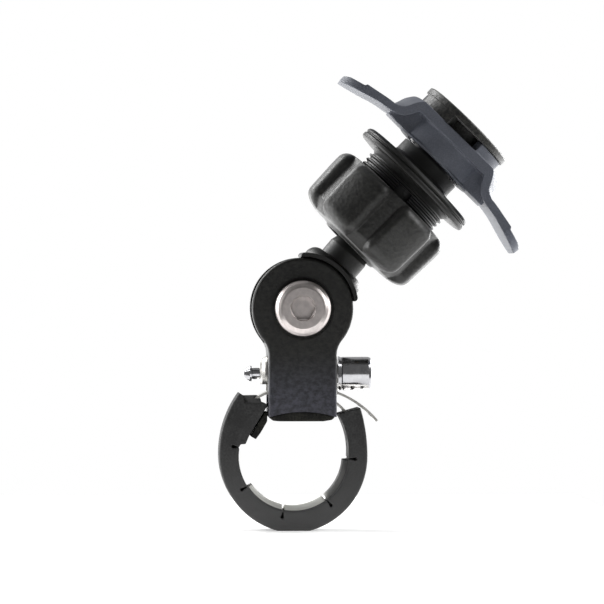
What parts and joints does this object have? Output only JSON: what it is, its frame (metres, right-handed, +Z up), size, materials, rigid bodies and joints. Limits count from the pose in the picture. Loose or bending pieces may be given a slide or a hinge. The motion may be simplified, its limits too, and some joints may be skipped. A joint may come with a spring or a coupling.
{
  "type": "bicycle phone mount",
  "caption": "Handlebar phone mount: worm-drive strap clamp, hinged arm, ball joint with lobed knob and a quarter-turn head with a sprung release lever.",
  "frame": {"origin": "on the handlebar's axis, at the middle of the clamp's width", "axes": "+X across the bar towards the arm's lean, +Y along the handlebar, +Z up from the bar to the arm's pivot"},
  "size_m": [0.0747, 0.0342, 0.1132],
  "materials": {
    "cast_black": "bead-blasted black anodised casting, fine grain, satin",
    "anodised_black": "satin black anodised aluminium, turned",
    "lever_grey": "blue-grey hard-anodised sheet, satin",
    "black_plastic": "matt black glass-filled nylon, fine moulded texture",
    "cap_plastic": "matt dark nylon, fine moulded texture",
    "rubber_strap": "matt dark grey rubber, soft moulded skin",
    "rubber_pad": "black rubber with coarse speckled skin",
    "stainless": "stainless strip, fine lengthwise grain",
    "chrome_steel": "polished nickel-plated steel",
    "bolt_steel": "turned stainless steel, satin face, bright edge",
    "spring_steel": "drawn spring wire",
    "brass": "turned brass",
    "insert_alloy": "machined aluminium",
    "nylon_white": "natural nylon",
    "nylon_black": "black acetal, smooth"
  },
  "bodies": {
    "clamp": {"clevis_bracket": "cast_black", "saddle_pad": "rubber_pad", "strap_tongue": "rubber_pad", "rubber_strap": "rubber_strap", "clamp_band": "stainless", "worm_housing": "stainless", "pivot_bolt": "bolt_steel", "pivot_nut": "bolt_steel", "friction_washers": "nylon_white"},
    "worm": {"worm_screw": "chrome_steel", "worm_tip": "chrome_steel"},
    "arm": {"arm": "anodised_black", "hub_bush": "nylon_white", "ball": "bolt_steel"},
    "liner": {"ball_liner": "nylon_black"},
    "rings": {"pressure_ring_lower": "nylon_black", "pressure_ring_upper": "nylon_black"},
    "head": {"socket_body": "anodised_black", "head_cap": "cap_plastic", "cap_screw": "bolt_steel", "lever_spring": "spring_steel"},
    "knob": {"knob_shell": "black_plastic", "knob_insert": "insert_alloy", "thrust_ring": "brass"},
    "lever": {"release_lever": "lever_grey"}
  },
  "joints": [
    {"name": "worm_turn", "type": "hinge", "parent": "clamp", "child": "worm", "pos_m": [0, 0, 0.0228], "axis": [1, 0, 0], "continuous": true},
    {"name": "arm_tilt", "type": "hinge", "parent": "clamp", "child": "arm", "pos_m": [0.00215, 0, 0.03918], "axis": [0, -1, 0], "range_deg": [-45, 130]},
    {"name": "head_lean", "type": "hinge", "parent": "arm", "child": "liner", "pos_m": [0.02425, 0, 0.06515], "axis": [0, -1, 0], "range_deg": [-0.7, 9.3]},
    {"name": "head_nod", "type": "hinge", "parent": "liner", "child": "rings", "pos_m": [0.02425, 0, 0.06515], "axis": [0.7108, 0, -0.7034], "range_deg": [-5, 5]},
    {"name": "head_swivel", "type": "hinge", "parent": "rings", "child": "head", "pos_m": [0.02425, 0, 0.06515], "axis": [0.7034, 0, 0.7108], "continuous": true},
    {"name": "knob_turn", "type": "hinge", "parent": "head", "child": "knob", "pos_m": [0.02425, 0, 0.06515], "axis": [0.7034, 0, 0.7108], "continuous": true},
    {"name": "lever_press", "type": "slide", "parent": "head", "child": "lever", "axis": [-0.7034, 0, -0.7108], "range_m": [0, 0.003], "stiffness_N_per_m": 1500, "springref_m": -0.002, "deforming": ["lever_spring"]}
  ]
}
